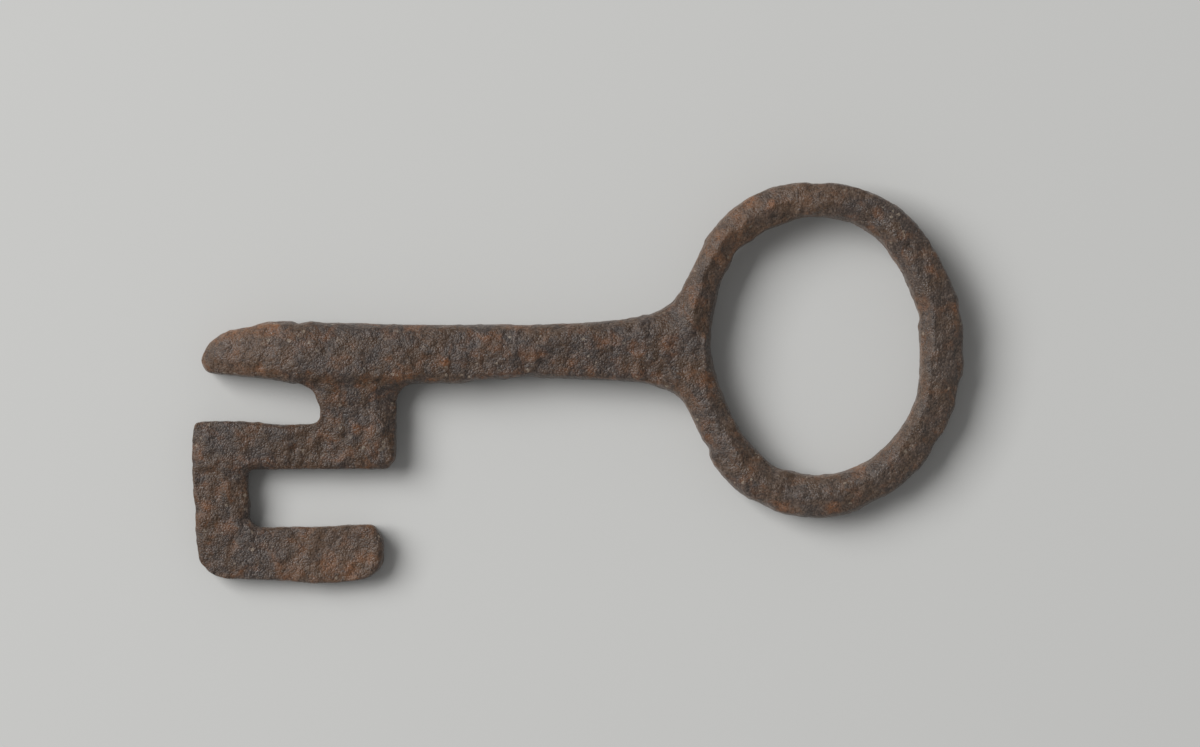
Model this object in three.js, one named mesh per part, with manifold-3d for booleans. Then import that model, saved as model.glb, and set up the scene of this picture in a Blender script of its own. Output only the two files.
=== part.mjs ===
// A hand-forged iron key that lies flat. Millimetres, +Z up. The nose points to -X, the bow to +X and the bit
// to -Y. It is drawn from the front edge of the bit (x = 0) and the axis of the shank (y = 0), then centred.
// Shank, bow and bit share one middle plane, but the shank is the thickest. So the key lies a little tipped:
// the bow and the bit slope down to the side of the bit until they touch the surface as well.
import * as THREE from "three";
import { mergeVertices } from "three/addons/utils/BufferGeometryUtils.js";
import Module from "manifold-3d";

const wasm = await Module();
wasm.setup();

// Gap left between pieces that are welded together on the real key
const weldGap = 0.3;

// Forged bars: points round a section, and the share of the height that is hammered flat underneath
const sectionSteps = 16;
const undersideFlat = 0.06;

// Shank: edges of the bar as seen from above, [x, y], and its height, [x, z]
const shankUpperEdge = [
  [1.4, -1.1],
  [2.3, 0.9],
  [4, 2.6],
  [7.5, 4],
  [12, 5.2],
  [20, 5.2],
  [40, 4.8],
  [58, 4.9],
  [68, 5.3],
  [75, 6.2],
  [80.4, 8.6],
  [85.5, 11],
];
const shankLowerEdge = [
  [1.4, -1.7],
  [2.3, -3.1],
  [4, -3.5],
  [8, -3.8],
  [14, -4.5],
  [19, -5.2],
  [40, -5],
  [50, -4.4],
  [60, -4.2],
  [70, -4.6],
  [77, -5.5],
  [81, -7.2],
  [83.5, -10],
  [85.5, -13],
];
const shankHeights = [
  [1.4, 5],
  [3, 6.6],
  [8, 8.2],
  [14, 9.3],
  [20, 9.7],
  [40, 9.8],
  [70, 9.7],
  [85.5, 9.4],
];
const shankSquareness = 3.6;
const shankStep = 2;
const noseStep = 0.6;
const noseLength = 6;

// Bow: an oval hoop. Widths and outward drifts of its bar, and the side on which the ridge of its roof runs
// (-1 inside, 1 outside), are given at every thirtieth degree, from +X anticlockwise
const bowCentre = { x: 104.1, y: 0.8 };
const bowHalfLength = 20.8;
const bowHalfWidth = 24.6;
const bowBarWidths = [7.5, 6.9, 6.9, 5.9, 6.3, 5.8, 7.5, 6.3, 7.4, 7.1, 6.8, 6.8];
const bowBarDrifts = [-0.1, -0.3, 0, 0.1, 0.7, 0.2, 0.7, -0.8, 0, 0, 0, 0.1];
const bowRidges = [-0.45, -0.35, -0.2, -0.05, 0.1, 0.1, 0, -0.1, -0.15, -0.1, -0.3, -0.45];
const bowHeight = 8.4;
const bowSquareness = 2.6;
const bowShoulder = { side: 0.84, rise: 0.82 };
const bowRoofSwell = 0.02;
const bowStations = 72;

// Slope of the bow in degrees, and the y at which its underside would reach the surface
const bowTip = 3;
const bowRestY = -27;

// Scarf joints between the head of the shank and the two ends of the hoop
const headLeft = 70;
const upperScarf = [
  [86, 20],
  [87.6, 7],
];
const lowerScarf = [
  [87.9, -5],
  [85.7, -17],
];

// Bit: outline seen from above, [x, y, corner radius]
const bitOutline = [
  [21.5, -4, 1.6],
  [21.5, -11.7, 1.2],
  [15.2, -12.1, 4],
  [8, -11.2, 3],
  [0.3, -11.3, 1.4],
  [0, -20, 6],
  [1, -35, 1.8],
  [4, -37.5, 1.8],
  [14, -37.8, 4],
  [22.5, -38.5, 4],
  [29.4, -37.6, 1.6],
  [31.9, -35.4, 1.6],
  [32, -30.6, 1.5],
  [29.9, -28.5, 1.3],
  [25, -28.6, 2.6],
  [20, -29, 2.2],
  [9.6, -28.9, 1.4],
  [9.2, -19.3, 0.8],
  [28, -19.2, 3],
  [33.8, -19.3, 1.4],
  [34, -12, 4],
  [34, -4, 1.6],
];

// Its thickness from the foot to the shank, [y, thickness], the height of its middle plane at the axis of the
// shank, and the slope of that plane in degrees
const bitThicknesses = [
  [-38.5, 4.9],
  [-20, 5.2],
  [-12, 5.7],
  [-4, 6.4],
];
const bitMiddle = 4.9;
const bitTip = 3.5;
const bitEdgeRounding = 0.9;

// Tenon of the bit, and the blind mortise that takes it
const tenon = { left: 23.2, right: 32.4, top: 1, low: 2.9, high: 6.3, root: 4 };

// Fillets in the two corners between shank and bit
const filletLow = 1.8;
const filletHigh = 7.3;
const filletTop = -3.8;
const frontFilletLeg = 3.4;
const rearFilletLeg = 1.9;
const filletHollow = 0.35;

// Heights below and above everything, for cutting blocks
const farBelow = -1;
const farAbove = 13;

// Fineness of the rounding of the bit
const curveSegments = 3;
const bevelSegments = 2;

// Rust brown iron
const ironColour = 0x55483f;
const rustColour = 0x78492d;

function iron(colour) {
  return new THREE.MeshStandardMaterial({ color: colour, roughness: 0.85, metalness: 0.35 });
}

function toSolid(geometry) {
  const bare = geometry.clone();
  bare.deleteAttribute("normal");
  bare.deleteAttribute("uv");
  const merged = mergeVertices(bare);
  const mesh = new wasm.Mesh({
    numProp: 3,
    vertProperties: new Float32Array(merged.attributes.position.array),
    triVerts: new Uint32Array(merged.index.array),
  });
  return new wasm.Manifold(mesh);
}

function toGeometry(solid) {
  const mesh = solid.getMesh();
  const geometry = new THREE.BufferGeometry();
  geometry.setAttribute("position", new THREE.BufferAttribute(mesh.vertProperties, mesh.numProp));
  geometry.setIndex(new THREE.BufferAttribute(mesh.triVerts, 1));
  geometry.computeVertexNormals();
  return geometry;
}

// A smooth curve through points [place, value], as a function of the place
function profile(points) {
  const places = points.map((point) => point[0]);
  const values = points.map((point) => point[1]);
  const curve = new THREE.CubicInterpolant(places, values, 1, [0]);
  return (place) => curve.evaluate(place)[0];
}

// The same for values spread evenly round a full turn
function roundProfile(values) {
  const count = values.length;
  const points = [];
  for (let i = -2; i <= count + 2; i++) {
    points.push([(i * 2 * Math.PI) / count, values[(i + count) % count]]);
  }
  return profile(points);
}

function signedPower(value, power) {
  return Math.sign(value) * Math.abs(value) ** power;
}

// Section of a forged bar as [side, rise], side from -1 to 1 and rise from 0 to 1.
// A squareness of 2 is an oval, and more is squarer.
function barSection(squareness) {
  const points = [];
  for (let i = 0; i < sectionSteps; i++) {
    const turn = (2 * Math.PI * i) / sectionSteps;
    const side = signedPower(Math.cos(turn), 2 / squareness);
    const up = signedPower(Math.sin(turn), 2 / squareness);
    const rise = Math.max(0, (1 + up) / 2 - undersideFlat) / (1 - undersideFlat);
    points.push([side, rise]);
  }
  return points;
}

// Section of the bow's bar: a squarish oval up to its shoulders, then two nearly flat faces up to a ridge
function roofSection(ridge) {
  const { side, rise } = bowShoulder;
  const faces = [-side, side].map((edge) => [(edge + ridge) / 2, (1 + rise) / 2 + bowRoofSwell]);
  const roof = [[side, rise], faces[1], [ridge, 1], faces[0], [-side, rise]];
  const oval = barSection(bowSquareness);
  const top = sectionSteps / 4;
  const isBelow = (point) => point[1] < rise;
  return [...oval.slice(0, top).filter(isBelow), ...roof, ...oval.slice(top).filter(isBelow)];
}

// A closed body through rings of points. An open run of rings gets a flat cap at each end.
function loft(rings, isHoop) {
  const size = rings[0].length;
  const positions = rings.flat(2);
  const index = [];
  const spans = isHoop ? rings.length : rings.length - 1;
  for (let i = 0; i < spans; i++) {
    const here = i * size;
    const there = ((i + 1) % rings.length) * size;
    for (let j = 0; j < size; j++) {
      const next = (j + 1) % size;
      index.push(here + j, here + next, there + j);
      index.push(here + next, there + next, there + j);
    }
  }
  if (!isHoop) {
    const last = (rings.length - 1) * size;
    for (let j = 1; j < size - 1; j++) {
      index.push(0, j + 1, j);
      index.push(last, last + j, last + j + 1);
    }
  }
  const geometry = new THREE.BufferGeometry();
  geometry.setAttribute("position", new THREE.Float32BufferAttribute(positions, 3));
  geometry.setIndex(index);
  return geometry;
}

// The bar of the shank from the nose to the spread head, grown by a margin on every side
function shankBar(margin) {
  const upper = profile(shankUpperEdge);
  const lower = profile(shankLowerEdge);
  const height = profile(shankHeights);
  const start = shankUpperEdge[0][0];
  const end = shankUpperEdge.at(-1)[0];
  const stations = [];
  for (let x = start; x < start + noseLength; x += noseStep) stations.push(x);
  for (let x = start + noseLength; x < end; x += shankStep) stations.push(x);
  stations.push(end);
  const section = barSection(shankSquareness);
  const rings = stations.map((x) => {
    const middle = (upper(x) + lower(x)) / 2;
    const half = (upper(x) - lower(x)) / 2 + margin;
    const drawn = height(x) + 2 * margin;
    return section.map(([side, rise]) => [x, middle + half * side, rise * drawn - margin]);
  });
  return toSolid(loft(rings, false));
}

// The whole oval hoop, before the head takes its place on the left
function fullHoop() {
  const width = roundProfile(bowBarWidths);
  const drift = roundProfile(bowBarDrifts);
  const ridge = roundProfile(bowRidges);
  const slope = Math.tan(THREE.MathUtils.degToRad(bowTip));
  const rings = [];
  for (let i = 0; i < bowStations; i++) {
    const turn = 2 * Math.PI * (1 - i / bowStations);
    const oval = Math.hypot(bowHalfWidth * Math.cos(turn), bowHalfLength * Math.sin(turn));
    const middle = (bowHalfLength * bowHalfWidth) / oval + drift(turn);
    rings.push(
      roofSection(ridge(turn)).map(([side, rise]) => {
        const reach = middle + (side * width(turn)) / 2;
        const y = bowCentre.y + reach * Math.sin(turn);
        return [bowCentre.x + reach * Math.cos(turn), y, rise * bowHeight + (y - bowRestY) * slope];
      }),
    );
  }
  return toSolid(loft(rings, true));
}

// Upright prism over a plan outline, from low to high
function prism(points, low, high) {
  const shape = new THREE.Shape(points.map(([x, y]) => new THREE.Vector2(x, y)));
  const geometry = new THREE.ExtrudeGeometry(shape, { depth: high - low, bevelEnabled: false });
  geometry.translate(0, 0, low);
  return toSolid(geometry);
}

function box(left, right, front, back, low, high) {
  const geometry = new THREE.BoxGeometry(right - left, back - front, high - low);
  geometry.translate((left + right) / 2, (front + back) / 2, (low + high) / 2);
  return toSolid(geometry);
}

// The space that the head of the shank takes out of the hoop, moved towards the hoop by a margin
function headSpace(margin) {
  const outline = [
    [headLeft, upperScarf[0][1]],
    [headLeft, lowerScarf[1][1]],
    [lowerScarf[1][0] + margin, lowerScarf[1][1]],
    [lowerScarf[0][0] + margin, lowerScarf[0][1]],
    [upperScarf[1][0] + margin, upperScarf[1][1]],
    [upperScarf[0][0] + margin, upperScarf[0][1]],
  ];
  return prism(outline, farBelow, farAbove);
}

// A plan outline with a curve of the given radius at each corner
function roundedShape(corners) {
  const shape = new THREE.Shape();
  corners.forEach(([x, y, radius], i) => {
    const corner = new THREE.Vector2(x, y);
    const before = new THREE.Vector2(...corners.at(i - 1));
    const after = new THREE.Vector2(...corners[(i + 1) % corners.length]);
    const entry = corner.clone().add(before.sub(corner).setLength(radius));
    const exit = corner.clone().add(after.sub(corner).setLength(radius));
    if (i === 0) shape.moveTo(entry.x, entry.y);
    else shape.lineTo(entry.x, entry.y);
    shape.quadraticCurveTo(x, y, exit.x, exit.y);
  });
  return shape;
}

// The bit without its tenon: a plate with rounded edges that thins and slopes down towards the foot
function bitBlank() {
  const rootThickness = bitThicknesses.at(-1)[1];
  const geometry = new THREE.ExtrudeGeometry(roundedShape(bitOutline), {
    depth: rootThickness - 2 * bitEdgeRounding,
    bevelThickness: bitEdgeRounding,
    bevelSize: bitEdgeRounding,
    bevelOffset: -bitEdgeRounding,
    bevelSegments,
    curveSegments,
  });
  geometry.translate(0, 0, bitEdgeRounding - rootThickness / 2);
  const thickness = profile(bitThicknesses);
  const slope = Math.tan(THREE.MathUtils.degToRad(bitTip));
  const place = geometry.attributes.position;
  for (let i = 0; i < place.count; i++) {
    const y = place.getY(i);
    place.setZ(i, bitMiddle + y * slope + (place.getZ(i) * thickness(y)) / rootThickness);
  }
  return toSolid(geometry);
}

function tenonBlock(margin) {
  return box(
    tenon.left - margin,
    tenon.right + margin,
    bitOutline[0][1] - tenon.root,
    tenon.top + margin,
    tenon.low - margin,
    tenon.high + margin,
  );
}

function makeShank() {
  const arms = fullHoop().intersect(headSpace(0));
  return shankBar(0).add(arms).subtract(tenonBlock(weldGap));
}

function makeBowHoop() {
  return fullHoop().subtract(headSpace(weldGap)).subtract(shankBar(weldGap));
}

function makeBitPlate() {
  return bitBlank().subtract(shankBar(weldGap)).add(tenonBlock(0));
}

// A corner filling with a hollow slanting face. The leg points away from the bit along the shank.
function makeFillet(cornerX, leg) {
  const reach = Math.abs(leg);
  const shankSide = Math.min(profile(shankLowerEdge)(cornerX), filletTop);
  const hollow = new THREE.Vector2(leg, -reach).multiplyScalar(0.5 - filletHollow / 2);
  const outline = [
    [cornerX, filletTop],
    [cornerX + leg, filletTop],
    [cornerX + leg, shankSide],
    [cornerX + hollow.x, shankSide + hollow.y],
    [cornerX, shankSide - reach],
  ];
  return prism(outline, filletLow, filletHigh).subtract(shankBar(weldGap));
}

function piece(name, solid, colour) {
  const mesh = new THREE.Mesh(toGeometry(solid), iron(colour));
  mesh.name = name;
  return mesh;
}

const key = new THREE.Group();
key.add(piece("shank", makeShank(), ironColour));
key.add(piece("bow_hoop", makeBowHoop(), ironColour));
key.add(piece("bit_plate", makeBitPlate(), ironColour));
key.add(piece("front_fillet", makeFillet(bitOutline[0][0] - weldGap, -frontFilletLeg), ironColour));
key.add(piece("rear_fillet", makeFillet(bitOutline.at(-1)[0] + weldGap, rearFilletLeg), rustColour));

// Origin at the middle of the key, on the surface that it lies on
const bounds = new THREE.Box3().setFromObject(key);
const middle = bounds.getCenter(new THREE.Vector3());
key.position.set(-middle.x, -middle.y, -bounds.min.z);

export default key;
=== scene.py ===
"""A hand-forged iron key, dark brown with rust, on a pale ground under soft light from the upper left."""

import itertools
import math

import bmesh
import bpy
import numpy as np
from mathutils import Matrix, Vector
from mathutils.bvhtree import BVHTree


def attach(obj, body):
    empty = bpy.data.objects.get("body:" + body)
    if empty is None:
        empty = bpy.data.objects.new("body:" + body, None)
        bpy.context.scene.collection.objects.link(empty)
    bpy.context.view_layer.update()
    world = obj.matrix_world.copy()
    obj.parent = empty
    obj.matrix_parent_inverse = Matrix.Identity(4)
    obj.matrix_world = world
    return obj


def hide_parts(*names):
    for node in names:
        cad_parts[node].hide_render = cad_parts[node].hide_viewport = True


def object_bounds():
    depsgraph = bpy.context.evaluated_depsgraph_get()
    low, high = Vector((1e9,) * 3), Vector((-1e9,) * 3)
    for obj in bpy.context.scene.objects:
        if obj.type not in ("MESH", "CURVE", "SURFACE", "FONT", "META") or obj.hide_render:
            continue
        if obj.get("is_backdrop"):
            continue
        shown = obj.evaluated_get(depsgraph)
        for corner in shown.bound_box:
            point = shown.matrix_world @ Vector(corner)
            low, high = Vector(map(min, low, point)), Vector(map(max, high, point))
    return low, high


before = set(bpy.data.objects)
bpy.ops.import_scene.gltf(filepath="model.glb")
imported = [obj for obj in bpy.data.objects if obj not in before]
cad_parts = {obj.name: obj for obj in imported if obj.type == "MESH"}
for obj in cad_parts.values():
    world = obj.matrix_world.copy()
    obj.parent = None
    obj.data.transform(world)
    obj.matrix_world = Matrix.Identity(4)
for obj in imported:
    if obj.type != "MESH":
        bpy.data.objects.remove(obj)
cad_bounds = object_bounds()

# The photograph: its size in pixels, and the left, right and top of the key in it
PHOTO_WIDTH = 1200
PHOTO_HEIGHT = 747
KEY_LEFT_PX = 192
KEY_RIGHT_PX = 965
KEY_TOP_PX = 182

# Sculpting is done in millimetres, inside the box of the CAD model
MM = 0.001
BOX_LOW, BOX_HIGH = (np.array(corner) / MM for corner in cad_bounds)
MM_PER_PX = (BOX_HIGH[0] - BOX_LOW[0]) / (KEY_RIGHT_PX - KEY_LEFT_PX)

# The skin: the distance below which two corners of a solid are joined, how far the solids are
# grown to close the gaps at the welds, the size of its voxels before and after the forging,
# its smoothing, and how far round a place its height is looked for
MERGE_DISTANCE = 0.02
WELD_FILL = 0.22
COARSE_VOXEL = 0.45
FINE_VOXEL = 0.25
SOFTEN_STEPS = 3
SOFTEN_SHARE = 0.5
PROBE_RADIUS = 2 * COARSE_VOXEL

# Hammer blows on the upper and the lower side: how many, how wide and how deep they are, how
# flat the struck skin lies at least (the z of its normal), how far round the blow the skin
# may turn (the cosine), where the blow starts and stops fading (in its radii), and how high
# above it the skin may stand (higher skin is a neighbouring part, which the hammer passed by)
BLOWS = 170
BLOW_RADIUS = (2.6, 5.2)
BLOW_DEPTH = (0.08, 0.24)
BLOW_FLATNESS = 0.7
BLOW_TURN = 0.3
BLOW_FULL, BLOW_END = 0.8, 1.3
BLOW_CLEARS = 0.8
BLOW_SEED = 11

# Relief of the forged and corroded skin: the size and height of its features, and their seeds
SWELL_SIZE, SWELL_HEIGHT, SWELL_SEED = 7.5, 0.14, 1
LUMP_SIZE, LUMP_HEIGHT, LUMP_SEED = 3.0, 0.26, 2
KNOB_SIZE, KNOB_HEIGHT, KNOB_SEED = 1.6, 0.15, 3
GRAIN_SIZE, GRAIN_HEIGHT, GRAIN_SEED = 0.8, 0.07, 4
CRUST_SIZE, CRUST_HEIGHT, CRUST_SEED = 4.2, 0.1, 5
PIT_SIZE, PIT_DEPTH, PIT_SEED = 2.2, 0.2, 8
FINE_PIT_SIZE, FINE_PIT_DEPTH, FINE_PIT_SEED = 1.1, 0.14, 9

# The strength of the noise at which a lump neither rises nor sinks
LUMP_LEVEL = 0.3

# The ragged edge of the crusts: the size, share and seed of the finer noise in it, and the
# strength of the noise at which a crust has its full height
RAG_SIZE, RAG_SHARE, RAG_SEED = CRUST_SIZE / 3, 0.5, 6
CRUST_FULL = 0.15

# The patches with the larger pits: how sharply they end, how far they spread, and their seed
PATCH_CONTRAST, PATCH_SPREAD, PATCH_SEED = 2, 0.5, 7

# Pits: their radius as a share of their size, and the power that gives them their bowl
PIT_SHARE = 0.45
PIT_POWER = 1.3

# How far the relief lies below the forged skin, and the share of it that the steep sides
# keep, which are smoother than the faces
SKIN_SINK = 0.06
SIDE_SHARE = 0.45

# Single marks in the outline and the faces: pixel of the photograph, radius in millimetres,
# and rise or dent
MARKS = (
    # Nose
    (262, 366, 0.8, -0.5),
    (284, 323, 2.4, -0.05),
    (252, 328, 2.2, -0.3),
    (311, 322, 1.8, 0.2),
    (297, 323, 0.9, -0.2),
    (228, 331, 1.6, 0.2),
    (302, 322, 2.0, -0.2),
    # Shank
    (525, 381, 3.5, -0.35),
    (460, 381, 3.0, 0.35),
    # Bit
    (258, 421, 1.2, 0.2),
    (372, 527, 1.5, 0.25),
    (314, 393, 2.0, -0.3),
    (302, 386, 1.8, -0.4),
    (252, 526, 1.6, 0.25),
    (395, 468, 1.6, -0.6),
    (194, 505, 4.0, -0.25),
    (250, 503, 2.5, 0.25),
    # Head
    (712, 381, 1.1, -0.7),
    (678, 297, 1.6, 0.3),
    (661, 318, 3.0, -0.4),
    # Ring
    (708, 447, 1.5, -0.35),
    (714, 462, 2.0, 0.25),
    (711, 240, 1.8, 0.25),
    (957, 297, 2.4, 0.25),
    (915, 307, 1.6, 0.2),
    (960, 388, 3.2, -0.35),
    (786, 495, 2.5, -0.4),
    (737, 252, 3.0, -0.6),
    (862, 228, 6.0, -0.45),
    (918, 312, 3.0, -0.5),
    (775, 467, 3.0, -0.5),
    (762, 503, 3.0, -0.4),
    (874, 501, 3.0, -0.35),
    (933, 445, 3.0, -0.4),
    (785, 224, 4.0, 0.35),
    (818, 184, 3.0, -0.3),
    (962, 348, 3.0, -0.3),
    (721, 280, 3.5, -0.3),
    (882, 243, 3.0, -0.3),
)

# Broad bevels: two pixels on the line where each starts, with the bevel on the right of the
# way from the first to the second, and its slope in degrees
BEVELS = (
    # Bit: the rear edge of its neck, the inner edge of its front bar, and its upper arm
    (390, 464, 373, 402, 28),
    (233, 520, 231, 478, 22),
    (268, 455, 380, 455, 22),
    # Lower side of the shank, of the head and of the nose
    (424, 354, 628, 343, 11),
    (424, 369, 628, 369, 18),
    (640, 340, 694, 329, 12),
    (209, 360, 290, 370, 35),
    # Ring: its outer side at the right and the lower right, its inner side at the lower left,
    # and its outer side at the top
    (925, 398, 927, 302, 16),
    (900, 446, 922, 408, 16),
    (762, 479, 722, 428, 14),
    (838, 204, 800, 203, 20),
)

# How softly a bevel ends along its line, how far it reaches before and behind the line, and
# how round its start is
BEVEL_FADE = 2.0
BEVEL_LEAD = 1.0
BEVEL_REACH = 7.0
BEVEL_SOFTNESS = 0.12

# The corner between shank and bit is filled to a gentle slope: the pixels where it starts and
# ends, and its sides
FILLED_TOP = (352, 352)
FILLED_BOTTOM = (352, 404)
FILLED_LEFT_PX = 318
FILLED_RIGHT_PX = 392

# Where the rust is strongest: pixel of the photograph and radius in millimetres
RUST_SPOTS = (
    # Nose
    (214, 341, 1.6),
    (226, 334, 2.4),
    (235, 331, 2.2),
    (250, 328, 2.2),
    (261, 368, 1.6),
    (262, 327, 2.0),
    (274, 330, 2.4),
    (290, 334, 2.2),
    # Corner behind the bit, and shank
    (399, 378, 1.5),
    (400, 375, 2.6),
    (446, 363, 1.3),
    # Bit
    (207, 505, 1.2),
    (290, 572, 3.4),
    (328, 568, 3.8),
    (350, 570, 2.6),
    (364, 556, 2.6),
    # Head
    (698, 303, 2.2),
    (704, 381, 2.2),
    # Ring
    (722, 236, 2.4),
    (730, 242, 2.2),
    (736, 216, 2.6),
    (748, 202, 2.0),
    (770, 205, 1.2),
    (783, 507, 1.6),
    (834, 509, 2.0),
    (857, 469, 2.2),
    (877, 214, 1.8),
    (927, 270, 1.6),
    (956, 308, 1.3),
)

# Where pale scale shows, with painted highlights on the lit bumps: pixel of the photograph and
# radius in millimetres
PALE_AND_HIGHLIGHT_SPOTS = (
    # Nose and shank
    (228, 343, 1.6),
    (268, 351, 1.0),
    (300, 347, 1.6),
    (335, 345, 1.3),
    (402, 352, 1.4),
    (475, 352, 1.8),
    (635, 335, 1.6),
    (652, 320, 1.4),
    # Bit
    (280, 553, 1.8),
    (318, 545, 1.4),
    (350, 431, 0.6),
    # Ring
    (725, 438, 1.6),
    (900, 460, 1.6),
)

# Where the key is lighter: partly handling wear, partly painted light that brightens lit slopes and
# lifts shaded faces on the nose, the foot and the ring's upper left; pixel of the photograph and
# radius in millimetres
WEAR_AND_LIGHT_SPOTS = (
    (245, 347, 13),
    (330, 555, 14),
    (736, 236, 14),
    (800, 200, 9),
)

# Where it is rubbed to a greyer brown: pixel of the photograph and radius in millimetres
RUBBED_SPOTS = ((850, 380, 38),)

# How far inside the key the faces that close a cut meet
CAP_DEPTH = 2.0

# The table of random numbers behind the noise: its rows, and the factors that spread the
# cells of the grid over them
TABLE_ROWS = 4093
CELL_FACTORS = (73856093, 19349663, 83492791)

# Camera: its height over the middle of the key in metres, and the width of its sensor in
# millimetres
CAMERA_DISTANCE = 0.8
SENSOR_WIDTH = 36

# Lamp: azimuth anticlockwise from +X and elevation in degrees, size and distance in metres,
# and power in watts; and the strength of the even light all round
LAMP_AZIMUTH = 155.7
LAMP_ELEVATION = 47.8
LAMP_SIZE = 1.45
LAMP_DISTANCE = 2.2
LAMP_POWER = 50.5
WORLD_LIGHT = 0.25

# The ground: half its width in metres, and its finish
GROUND_HALF_WIDTH = 4.0
GROUND_ROUGHNESS = 0.9
GROUND_SPECULAR = 0.0

# The usual curve of screen colours: the full value, the end and the slope of its straight
# start, and the offset and the power of the rest
FULL_VALUE = 255
STRAIGHT_END, STRAIGHT_SLOPE = 0.04045, 12.92
CURVE_OFFSET, CURVE_POWER = 0.055, 2.4


def linear(red, green, blue):
    """A screen colour given in 0 to 255 as the linear values that Blender's nodes take."""
    values = []
    for value in (red, green, blue):
        share = value / FULL_VALUE
        if share <= STRAIGHT_END:
            values.append(share / STRAIGHT_SLOPE)
        else:
            values.append(((share + CURVE_OFFSET) / (1 + CURVE_OFFSET)) ** CURVE_POWER)
    return (*values, 1)


# Colours of the light, of the ground, and of the iron, what lies on it and the light painted on it
WHITE = (1, 1, 1, 1)
GROUND_COLOUR = linear(201, 201, 199)
GREY_IRON = linear(63, 51, 45)
BROWN_IRON = linear(74, 52, 33)
RUST = linear(116, 72, 36)
FRESH_RUST = linear(144, 90, 48)
DARK_HOLLOW = linear(42, 34, 30)
# Pale scale, which also paints the highlights on lit bumps
PALE_SCALE_AND_HIGHLIGHT = linear(110, 93, 85)
# Pale grains, partly painted glints
PALE_GRAIN_AND_GLINT = linear(124, 107, 94)
# Bright specks that paint glints
GLINT_SPECK = linear(150, 136, 120)
# Lighter brown of the wear patches, which also paints light on lit slopes and lifts shaded faces
WEAR_AND_LIGHT_BROWN = linear(118, 90, 68)
RUBBED_GREY = linear(104, 88, 75)
RUSTY_SHEEN = linear(255, 248, 240)

# Noises of the iron: size of the features in millimetres, detail, roughness and distortion
TONE_NOISE = (4.0, 3, 0.5, 0.4)
RUST_NOISE = (2.8, 4, 0.6, 0.5)
MOTTLE_NOISE = (1.4, 4, 0.7, 0)
SKIN_NOISE = (0.9, 4, 0.7, 0)

# Sizes of the crystal grains and of the grains among which a few carry a painted glint, in millimetres
CRYSTAL_SIZE = 0.32
GLINT_SPECK_SIZE = 0.42

# Layers of colour on the iron: the value at which each starts to show, the value from which
# on it shows most, and how much it covers there
BROWN_LAYER = (0.4, 0.6, 1)
RUST_LAYER = (0.46, 0.74, 0.8)
FRESH_RUST_LAYER = (0.66, 0.84, 0.6)
HOLLOW_LAYER = (-0.1, -0.45, 0.5)
PALE_SCALE_AND_HIGHLIGHT_LAYER = (0.52, 0.78, 0.6)
DARK_MOTTLE_LAYER = (0.48, 0.26, 0.45)
PALE_GRAIN_AND_GLINT_LAYER = (0.45, 1, 0.34)
DARK_GRAIN_LAYER = (0.45, 0, 0.5)
GLINT_SPECK_LAYER = (0.988, 1, 0.7)

# How much the spots add to the noise of the rust and of the pale scale with its painted highlights,
# and how much the wear patches with their painted light and the rubbed places cover
RUST_SPOT_LIFT = 0.24
PALE_AND_HIGHLIGHT_LIFT = 0.14
WEAR_AND_LIGHT_COVER = 0.4

# Finish of the iron: two values of the mottle with the roughness at each, gloss and sheen,
# and the bump of the skin (height in millimetres) with the share of the crystals in it
MOTTLE_ROUGHNESS = (0.35, 0.65, 0.56, 0.4)
IRON_SPECULAR = 0.55
IRON_DIFFUSE_ROUGHNESS = 1.0
SHEEN_WEIGHT = 0.07
BUMP_STRENGTH = 1.0
BUMP_HEIGHT = 0.2
CRYSTAL_BUMP = 0.65


def place_of(x_px, y_px):
    """The place in millimetres, seen from above, that a pixel of the photograph shows."""
    x = BOX_LOW[0] + (x_px - KEY_LEFT_PX) * MM_PER_PX
    y = BOX_HIGH[1] - (y_px - KEY_TOP_PX) * MM_PER_PX
    return np.array([x, y])


def new_object(name, data):
    """A new object in the scene for a mesh, a camera or a lamp."""
    made = bpy.data.objects.new(name, data)
    bpy.context.scene.collection.objects.link(made)
    return made


def coordinates(mesh):
    """The places of the vertices, one row each."""
    places = np.empty(len(mesh.vertices) * 3, np.float32)
    mesh.vertices.foreach_get("co", places)
    return places.reshape(-1, 3).astype(float)


def set_coordinates(mesh, places):
    """Moves the vertices to the given places."""
    mesh.vertices.foreach_set("co", places.astype(np.float32).ravel())
    mesh.update()


def vertex_normals(mesh):
    """The normals of the vertices, one row each."""
    normals = np.empty(len(mesh.vertices) * 3, np.float32)
    mesh.vertex_normals.foreach_get("vector", normals)
    return normals.reshape(-1, 3).astype(float)


def apply_modifiers(piece):
    """Turns what the modifiers make of a piece into its mesh."""
    graph = bpy.context.evaluated_depsgraph_get()
    graph.update()
    mesh = bpy.data.meshes.new_from_object(piece.evaluated_get(graph))
    old = piece.data
    piece.modifiers.clear()
    piece.data = mesh
    bpy.data.meshes.remove(old)


def remesh(piece, voxel):
    """Gives a piece one even, closed skin, with faces of about the voxel's size."""
    modifier = piece.modifiers.new("remesh", "REMESH")
    modifier.mode = "VOXEL"
    modifier.voxel_size = voxel
    apply_modifiers(piece)


def smooth(piece, steps, share):
    """Softens a piece in steps, each of which moves a vertex by a share towards its neighbours."""
    modifier = piece.modifiers.new("smooth", "SMOOTH")
    modifier.iterations = steps
    modifier.factor = share
    apply_modifiers(piece)


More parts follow.
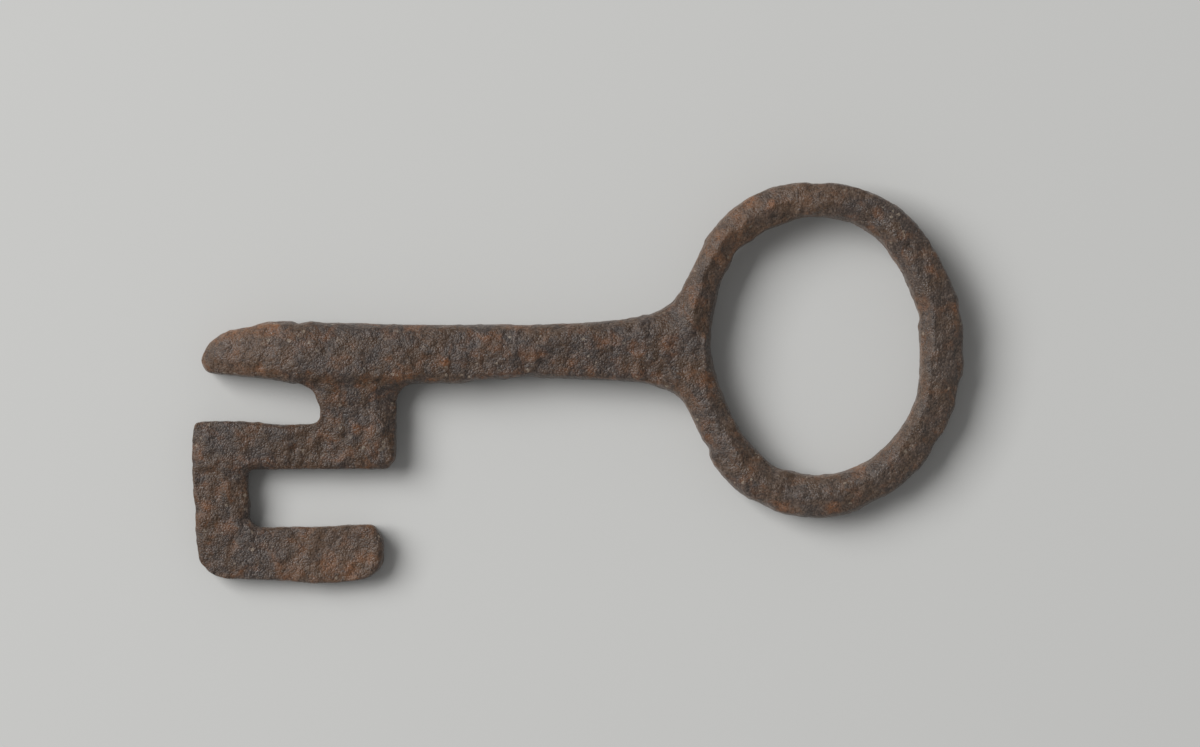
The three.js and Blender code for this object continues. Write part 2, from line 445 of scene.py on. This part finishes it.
def add_grown(node, joined):
    """Adds a copy of a CAD piece to the joined mesh, in millimetres and grown to close its welds."""
    part = bmesh.new()
    part.from_mesh(node.data)
    bmesh.ops.remove_doubles(part, verts=part.verts, dist=MERGE_DISTANCE * MM)
    bmesh.ops.scale(part, verts=part.verts, vec=(1 / MM,) * 3)
    bmesh.ops.recalc_face_normals(part, faces=part.faces)
    part.normal_update()
    for vertex in part.verts:
        vertex.co = vertex.co + vertex.normal * WELD_FILL
    mesh = bpy.data.meshes.new("part")
    part.to_mesh(mesh)
    part.free()
    joined.from_mesh(mesh)
    bpy.data.meshes.remove(mesh)


def welded_key():
    """One closed skin round all the CAD pieces, in millimetres, with the gaps at the welds filled."""
    joined = bmesh.new()
    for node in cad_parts.values():
        add_grown(node, joined)
    mesh = bpy.data.meshes.new("key")
    joined.to_mesh(mesh)
    joined.free()
    key = new_object("key", mesh)
    remesh(key, COARSE_VOXEL)
    places = coordinates(key.data) - vertex_normals(key.data) * WELD_FILL
    set_coordinates(key.data, places)
    smooth(key, SOFTEN_STEPS, SOFTEN_SHARE)
    return key


def table_rows(cells):
    """The row of the random table that belongs to each cell of the grid."""
    x, y, z = (cells[:, i].astype(np.int64) * CELL_FACTORS[i] for i in range(3))
    return (x ^ y ^ z) % TABLE_ROWS


def noise(places, size, seed):
    """Smooth noise from about -1 to 1 at each place, with features of the given size."""
    slopes = np.random.default_rng(seed).normal(size=(TABLE_ROWS, 3))
    points = places / size
    cells = np.floor(points)
    within = points - cells
    # The curve 6t^5 - 15t^4 + 10t^3 goes from 0 to 1 and is flat at both ends
    fade = within**3 * (within * (within * 6 - 15) + 10)
    total = np.zeros(len(points))
    for corner in itertools.product((0, 1), repeat=3):
        reach = ((within - corner) * slopes[table_rows(cells + corner)]).sum(axis=1)
        share = np.where(corner, fade, 1 - fade).prod(axis=1)
        total += reach * share
    return total


def craters(places, size, seed):
    """0 on the plain surface, up to 1 in the middle of scattered round pits of the given size."""
    jitter = np.random.default_rng(seed).random((TABLE_ROWS, 3))
    points = places / size
    cells = np.floor(points)
    nearest = np.full(len(points), np.inf)
    for step in itertools.product((-1, 0, 1), repeat=3):
        neighbours = cells + step
        centres = neighbours + jitter[table_rows(neighbours)]
        nearest = np.minimum(nearest, ((points - centres) ** 2).sum(axis=1))
    return np.clip(1 - np.sqrt(nearest) / PIT_SHARE, 0, 1) ** PIT_POWER


def hammer(key):
    """Flat facets where the hammer struck: a blow lowers the skin to a plane and keeps the outline."""
    chance = np.random.default_rng(BLOW_SEED)
    places = coordinates(key.data)
    normals = vertex_normals(key.data)
    faces = np.flatnonzero(np.abs(normals[:, 2]) > BLOW_FLATNESS)
    for struck in chance.choice(faces, size=BLOWS):
        centre, facing = places[struck].copy(), normals[struck]
        radius = chance.uniform(*BLOW_RADIUS)
        depth = chance.uniform(*BLOW_DEPTH)
        height = (places - centre) @ facing + depth
        across = np.linalg.norm(places - centre, axis=1) / radius
        weight = np.clip((BLOW_END - across) / (BLOW_END - BLOW_FULL), 0, 1)
        weight *= (height < BLOW_CLEARS) & (normals @ facing > BLOW_TURN)
        places[:, 2] -= np.maximum(height, 0) * weight / facing[2]
    set_coordinates(key.data, places)
    smooth(key, 1, SOFTEN_SHARE)


def closeness(places, x_px, y_px, radius):
    """1 under a pixel of the photograph, falling smoothly to 0 at the radius."""
    distance = np.linalg.norm(places[:, :2] - place_of(x_px, y_px), axis=1) / radius
    return np.clip(1 - distance**2, 0, 1) ** 2


def top_height(places, x_px, y_px):
    """Height of the skin under a pixel of the photograph."""
    near = np.linalg.norm(places[:, :2] - place_of(x_px, y_px), axis=1) < PROBE_RADIUS
    return places[near, 2].max()


def cut_bevel(key, x_px, y_px, end_x_px, end_y_px, slope):
    """Slopes the upper side down on one side of a line, and fades out beyond its ends."""
    places = coordinates(key.data)
    start, end = place_of(x_px, y_px), place_of(end_x_px, end_y_px)
    length = np.linalg.norm(end - start)
    along = (end - start) / length
    beside = np.array([along[1], -along[0]])
    step = (places[:, :2] - start) @ along
    reach = (places[:, :2] - start) @ beside
    first, last = top_height(places, x_px, y_px), top_height(places, end_x_px, end_y_px)
    ridge = first + (last - first) * np.clip(step / length, 0, 1)
    excess = places[:, 2] - (ridge - reach * math.tan(math.radians(slope)))
    weight = np.clip(1 + step / BEVEL_FADE, 0, 1)
    weight *= np.clip(1 + (length - step) / BEVEL_FADE, 0, 1)
    weight *= (reach > -BEVEL_LEAD) & (reach < BEVEL_REACH)
    weight *= vertex_normals(key.data)[:, 2] > 0
    places[:, 2] -= BEVEL_SOFTNESS * np.logaddexp(0, excess / BEVEL_SOFTNESS) * weight
    set_coordinates(key.data, places)


def fill_corner(key):
    """Fills the step between the shank and the bit to one gentle slope, as the weld does."""
    places = coordinates(key.data)
    top, bottom = place_of(*FILLED_TOP), place_of(*FILLED_BOTTOM)
    high, low = top_height(places, *FILLED_TOP), top_height(places, *FILLED_BOTTOM)
    share = (places[:, 1] - bottom[1]) / (top[1] - bottom[1])
    left, _ = place_of(FILLED_LEFT_PX, 0)
    right, _ = place_of(FILLED_RIGHT_PX, 0)
    side = np.minimum(places[:, 0] - left, right - places[:, 0])
    weight = np.clip(side / BEVEL_FADE, 0, 1)
    weight *= (share > 0) & (share < 1)
    weight *= vertex_normals(key.data)[:, 2] > 0
    lack = low + (high - low) * share - places[:, 2]
    places[:, 2] += np.maximum(lack, 0) * weight
    set_coordinates(key.data, places)


def forge(key):
    """The broad unevenness of hand work, and the single marks that the photograph shows."""
    hammer(key)
    fill_corner(key)
    for bevel in BEVELS:
        cut_bevel(key, *bevel)
    places = coordinates(key.data)
    swell = SWELL_HEIGHT * noise(places, SWELL_SIZE, SWELL_SEED)
    for x_px, y_px, radius, rise in MARKS:
        swell += rise * closeness(places, x_px, y_px, radius)
    set_coordinates(key.data, places + vertex_normals(key.data) * swell[:, None])
    remesh(key, FINE_VOXEL)
    smooth(key, 1, SOFTEN_SHARE)


def corroded_relief(places):
    """The height of lumps, knobs, grain, crusts of scale and pits at each place."""
    relief = LUMP_HEIGHT * (np.abs(noise(places, LUMP_SIZE, LUMP_SEED)) - LUMP_LEVEL)
    relief += KNOB_HEIGHT * noise(places, KNOB_SIZE, KNOB_SEED)
    relief += GRAIN_HEIGHT * noise(places, GRAIN_SIZE, GRAIN_SEED)
    crust = noise(places, CRUST_SIZE, CRUST_SEED) + RAG_SHARE * noise(places, RAG_SIZE, RAG_SEED)
    relief += CRUST_HEIGHT * np.clip(crust / CRUST_FULL, 0, 1)
    patches = noise(places, CRUST_SIZE, PATCH_SEED) * PATCH_CONTRAST + PATCH_SPREAD
    relief -= PIT_DEPTH * np.clip(patches, 0, 1) * craters(places, PIT_SIZE, PIT_SEED)
    relief -= FINE_PIT_DEPTH * craters(places, FINE_PIT_SIZE, FINE_PIT_SEED)
    return relief - SKIN_SINK


def store(mesh, name, values):
    """Keeps one number for each vertex, for the material."""
    layer = mesh.attributes.new(name, "FLOAT", "POINT")
    layer.data.foreach_set("value", values.astype(np.float32))


def corrode(key):
    """Gives the skin its relief, and stores for the material its height and where the spots lie."""
    places = coordinates(key.data)
    normals = vertex_normals(key.data)
    relief = corroded_relief(places)
    kept = SIDE_SHARE + (1 - SIDE_SHARE) * np.abs(normals[:, 2])
    set_coordinates(key.data, places + normals * (relief * kept)[:, None])
    store(key.data, "relief", relief)
    # The wear spots are partly painted light, and the pale spots partly painted highlights
    spot_lists = {"rust": RUST_SPOTS, "pale": PALE_AND_HIGHLIGHT_SPOTS, "wear_and_light": WEAR_AND_LIGHT_SPOTS, "rubbed": RUBBED_SPOTS}
    for name, spots in spot_lists.items():
        store(key.data, name, np.max([closeness(places, *spot) for spot in spots], axis=0))


def keep_inside(key):
    """The finished surface stays inside the CAD model's box."""
    set_coordinates(key.data, np.clip(coordinates(key.data), BOX_LOW, BOX_HIGH))


def rim_loops(part):
    """The edges round each open rim."""
    left = dict.fromkeys(edge for edge in part.edges if edge.is_boundary)
    while left:
        first, _ = left.popitem()
        loop, front = [], [first]
        while front:
            edge = front.pop()
            loop.append(edge)
            for neighbour in (other for vertex in edge.verts for other in vertex.link_edges):
                if neighbour in left:
                    del left[neighbour]
                    front.append(neighbour)
        yield loop


def close_cuts(part):
    """Closes each cut with a fan of faces that meet inside the key, with a sharp rim."""
    part.normal_update()
    for loop in list(rim_loops(part)):
        corners = dict.fromkeys(vertex for edge in loop for vertex in edge.verts)
        middle = sum((vertex.co for vertex in corners), Vector()) / len(corners)
        outward = sum((edge.link_faces[0].normal for edge in loop), Vector()) / len(loop)
        apex = part.verts.new(middle - outward * CAP_DEPTH)
        for edge in loop:
            edge.smooth = False
            start = edge.link_loops[0]
            part.faces.new((start.link_loop_next.vert, start.vert, apex))


def face_owners(key):
    """For each face of the key, the name of the CAD piece that it lies nearest to."""
    trees = {}
    for name, node in sorted(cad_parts.items()):
        points = [vertex.co / MM for vertex in node.data.vertices]
        faces = [tuple(polygon.vertices) for polygon in node.data.polygons]
        trees[name] = BVHTree.FromPolygons(points, faces)
    owners = []
    for polygon in key.data.polygons:
        # The last of the values that find_nearest gives is the distance
        distances = {name: tree.find_nearest(polygon.center)[-1] for name, tree in trees.items()}
        owners.append(min(distances, key=distances.get))
    return owners


def cut_out(key, name, owners):
    """The stretch of the key that belongs to one CAD piece, closed and in metres."""
    part = bmesh.new()
    part.from_mesh(key.data)
    others = [face for face, owner in zip(part.faces, owners) if owner != name]
    bmesh.ops.delete(part, geom=others, context="FACES")
    close_cuts(part)
    bmesh.ops.scale(part, verts=part.verts, vec=(MM,) * 3)
    for face in part.faces:
        face.smooth = True
    mesh = bpy.data.meshes.new("iron_" + name)
    part.to_mesh(mesh)
    part.free()
    return new_object("iron_" + name, mesh)


def split_by_node(key):
    """Cuts the key along its welds into one piece for each CAD piece."""
    owners = face_owners(key)
    pieces = {name: cut_out(key, name, owners) for name in sorted(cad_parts)}
    bpy.data.objects.remove(key)
    return pieces


class Nodes:
    """Short ways to add nodes to one material."""

    def __init__(self, name):
        self.material = bpy.data.materials.new(name)
        self.material.use_nodes = True
        self.tree = self.material.node_tree
        self.shader = self.tree.nodes["Principled BSDF"]

    def add(self, kind, settings=None, **inputs):
        """A node with its settings and its inputs, whose names have _ where the socket has a space."""
        node = self.tree.nodes.new(kind)
        for setting, value in (settings or {}).items():
            setattr(node, setting, value)
        for name, value in inputs.items():
            self.feed(node.inputs[name.replace("_", " ")], value)
        return node

    def feed(self, socket, value):
        """Links another node's output to a socket, or sets the socket to a plain value."""
        if isinstance(value, bpy.types.NodeSocket):
            self.tree.links.new(value, socket)
        else:
            socket.default_value = value

    def millimetres(self):
        """The place on the piece in millimetres."""
        node = self.add("ShaderNodeVectorMath", {"operation": "SCALE"}, Scale=1 / MM)
        self.feed(node.inputs[0], self.add("ShaderNodeTexCoord").outputs["Object"])
        return node.outputs["Vector"]

    def stored(self, name):
        """A number that is stored with each vertex."""
        return self.add("ShaderNodeAttribute", {"attribute_name": name}).outputs["Fac"]

    def noise(self, place, size, detail, roughness, distortion):
        """Noise from 0 to 1 with features of the given size."""
        node = self.add(
            "ShaderNodeTexNoise",
            Vector=place,
            Scale=1 / size,
            Detail=detail,
            Roughness=roughness,
            Distortion=distortion,
        )
        return node.outputs["Fac"]

    def crystals(self, place, size):
        """A random value for each of many grains of the given size, and the distance to its middle."""
        node = self.add("ShaderNodeTexVoronoi", Vector=place, Scale=1 / size)
        chance = self.add("ShaderNodeSeparateColor", Color=node.outputs["Color"])
        return chance.outputs["Red"], node.outputs["Distance"]

    def ramp(self, value, low, high, start, end):
        """start up to low, end from high on, with a smooth change between them."""
        node = self.add(
            "ShaderNodeMapRange",
            {"interpolation_type": "SMOOTHSTEP"},
            Value=value,
            From_Min=low,
            From_Max=high,
            To_Min=start,
            To_Max=end,
        )
        return node.outputs["Result"]

    def math(self, operation, first, second):
        """The result of an operation on two values."""
        node = self.add("ShaderNodeMath", {"operation": operation})
        self.feed(node.inputs[0], first)
        self.feed(node.inputs[1], second)
        return node.outputs["Value"]

    def mix(self, share, first, second):
        """The first colour at a share of 0, the second at 1."""
        node = self.add("ShaderNodeMix", {"data_type": "RGBA"}, Factor=share, A=first, B=second)
        return node.outputs["Result"]

    def layer(self, below, value, colour, start, full, cover):
        """A colour laid over the one below it, from a start value on and most from a full one."""
        return self.mix(self.ramp(value, start, full, 0, cover), below, colour)


def iron_colour(made, place, mottle, grain):
    """Grey and brown iron with rust, dark hollows, wear and painted light, pale scale and painted
    highlights, grains partly painted glints, and specks of painted glint.
    """
    tone = made.noise(place, *TONE_NOISE)
    colour = made.layer(GREY_IRON, tone, BROWN_IRON, *BROWN_LAYER)
    rust_spots = made.math("MULTIPLY", made.stored("rust"), RUST_SPOT_LIFT)
    rust = made.math("ADD", made.noise(place, *RUST_NOISE), rust_spots)
    colour = made.layer(colour, rust, RUST, *RUST_LAYER)
    colour = made.layer(colour, rust, FRESH_RUST, *FRESH_RUST_LAYER)
    colour = made.layer(colour, made.stored("relief"), DARK_HOLLOW, *HOLLOW_LAYER)
    # Lighter patches, partly handling wear and partly painted light; and a rubbed greyer brown
    for name, tint in (("wear_and_light", WEAR_AND_LIGHT_BROWN), ("rubbed", RUBBED_GREY)):
        colour = made.mix(made.math("MULTIPLY", made.stored(name), WEAR_AND_LIGHT_COVER), colour, tint)
    # Pale scale with painted highlights on the lit bumps
    pale_and_highlight_spots = made.math("MULTIPLY", made.stored("pale"), PALE_AND_HIGHLIGHT_LIFT)
    colour = made.layer(colour, made.math("ADD", mottle, pale_and_highlight_spots), PALE_SCALE_AND_HIGHLIGHT, *PALE_SCALE_AND_HIGHLIGHT_LAYER)
    colour = made.layer(colour, mottle, DARK_HOLLOW, *DARK_MOTTLE_LAYER)
    # Pale grains, partly painted glints
    colour = made.layer(colour, grain, PALE_GRAIN_AND_GLINT, *PALE_GRAIN_AND_GLINT_LAYER)
    colour = made.layer(colour, grain, DARK_HOLLOW, *DARK_GRAIN_LAYER)
    # A few bright specks: painted glints
    glint_speck, _ = made.crystals(place, GLINT_SPECK_SIZE)
    return made.layer(colour, glint_speck, GLINT_SPECK, *GLINT_SPECK_LAYER)


def iron_material():
    """Old iron: its colours, a gloss that changes with the mottle, a faint sheen and a fine bump."""
    made = Nodes("old_iron")
    place = made.millimetres()
    mottle = made.noise(place, *MOTTLE_NOISE)
    grain, middle = made.crystals(place, CRYSTAL_SIZE)
    made.feed(made.shader.inputs["Base Color"], iron_colour(made, place, mottle, grain))
    made.feed(made.shader.inputs["Roughness"], made.ramp(mottle, *MOTTLE_ROUGHNESS))
    made.shader.inputs["Specular IOR Level"].default_value = IRON_SPECULAR
    made.shader.inputs["Diffuse Roughness"].default_value = IRON_DIFFUSE_ROUGHNESS
    made.shader.inputs["Sheen Weight"].default_value = SHEEN_WEIGHT
    made.shader.inputs["Sheen Tint"].default_value = RUSTY_SHEEN
    crystals = made.math("MULTIPLY", middle, CRYSTAL_BUMP)
    height = made.math("SUBTRACT", made.noise(place, *SKIN_NOISE), crystals)
    bump = made.add("ShaderNodeBump", Height=height, Strength=BUMP_STRENGTH, Distance=BUMP_HEIGHT * MM)
    made.feed(made.shader.inputs["Normal"], bump.outputs["Normal"])
    return made.material


def dress(pieces):
    """Gives the pieces their material, hangs them on the root body and hides the CAD pieces that they
    replace.
    """
    iron = iron_material()
    for name, piece in pieces.items():
        piece.data.materials.append(iron)
        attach(piece, "root")
        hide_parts(name)


def lay_floor():
    """The pale ground that the key lies on."""
    half = GROUND_HALF_WIDTH
    mesh = bpy.data.meshes.new("ground")
    corners = [(-half, -half, 0), (half, -half, 0), (half, half, 0), (-half, half, 0)]
    mesh.from_pydata(corners, [], [(0, 1, 2, 3)])
    floor = new_object("ground", mesh)
    made = Nodes("pale_ground")
    made.shader.inputs["Base Color"].default_value = GROUND_COLOUR
    made.shader.inputs["Roughness"].default_value = GROUND_ROUGHNESS
    made.shader.inputs["Specular IOR Level"].default_value = GROUND_SPECULAR
    mesh.materials.append(made.material)
    floor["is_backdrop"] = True


def place_camera():
    """Looks straight down on the key, with the frame of the photograph."""
    x, y = place_of(PHOTO_WIDTH / 2, PHOTO_HEIGHT / 2) * MM
    middle_height = (BOX_LOW[2] + BOX_HIGH[2]) / 2 * MM
    camera_data = bpy.data.cameras.new("camera")
    camera_data.sensor_width = SENSOR_WIDTH
    camera_data.lens = SENSOR_WIDTH * CAMERA_DISTANCE / (PHOTO_WIDTH * MM_PER_PX * MM)
    camera = new_object("camera", camera_data)
    camera.location = (x, y, middle_height + CAMERA_DISTANCE)
    bpy.context.scene.camera = camera


def light_scene():
    """One large soft lamp at the upper left, and an even light all round."""
    world = bpy.data.worlds.new("studio")
    bpy.context.scene.world = world
    world.use_nodes = True
    background = world.node_tree.nodes["Background"]
    background.inputs["Color"].default_value = WHITE
    background.inputs["Strength"].default_value = WORLD_LIGHT
    lamp_data = bpy.data.lights.new("softbox", "AREA")
    lamp_data.shape = "SQUARE"
    lamp_data.size = LAMP_SIZE
    lamp_data.energy = LAMP_POWER
    lamp = new_object("softbox", lamp_data)
    azimuth, elevation = math.radians(LAMP_AZIMUTH), math.radians(LAMP_ELEVATION)
    flat = math.cos(elevation)
    direction = Vector((flat * math.cos(azimuth), flat * math.sin(azimuth), math.sin(elevation)))
    lamp.location = direction * LAMP_DISTANCE
    lamp.rotation_euler = direction.to_track_quat("Z", "Y").to_euler()


def write_sizes():
    """Gathers the box of the CAD model and the box of the dressed one."""
    boxes = [[list(corner) for corner in box] for box in (cad_bounds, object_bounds())]


place_camera()
light_scene()
lay_floor()
key = welded_key()
forge(key)
corrode(key)
keep_inside(key)
dress(split_by_node(key))
bpy.context.scene.view_settings.view_transform = "Standard"
write_sizes()
